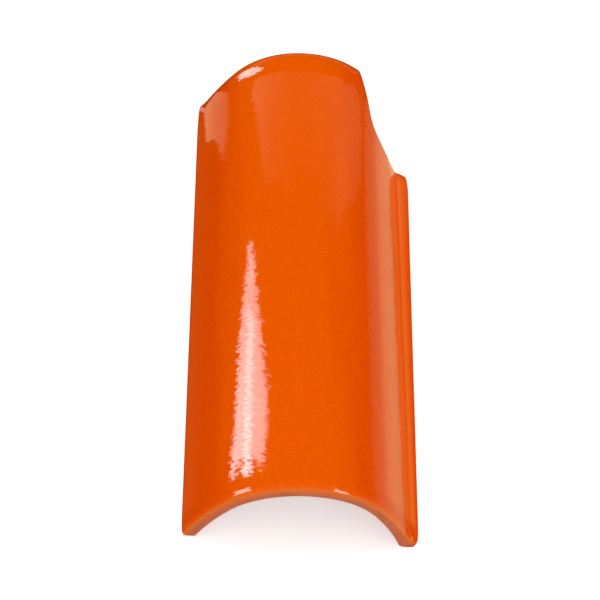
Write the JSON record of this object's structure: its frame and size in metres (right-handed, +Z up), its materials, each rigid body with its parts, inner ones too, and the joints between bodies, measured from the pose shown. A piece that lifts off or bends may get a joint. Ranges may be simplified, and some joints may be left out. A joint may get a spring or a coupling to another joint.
{
  "type": "roof tile",
  "caption": "Glazed clay barrel roof tile, a long arched shell with a narrow interlocking flange along one side and a notch at the head corner.",
  "frame": {"origin": "on the level floor, at the middle of the tile's length and width", "axes": "+Y along the length from the foot end to the notched head end, +Z up through the crown, +X towards the flange"},
  "size_m": [0.2016, 0.45, 0.0991],
  "materials": {
    "glazed_clay": "glossy orange glaze over fired clay"
  },
  "bodies": {
    "root": {"roof_tile": "glazed_clay"}
  },
  "joints": []
}
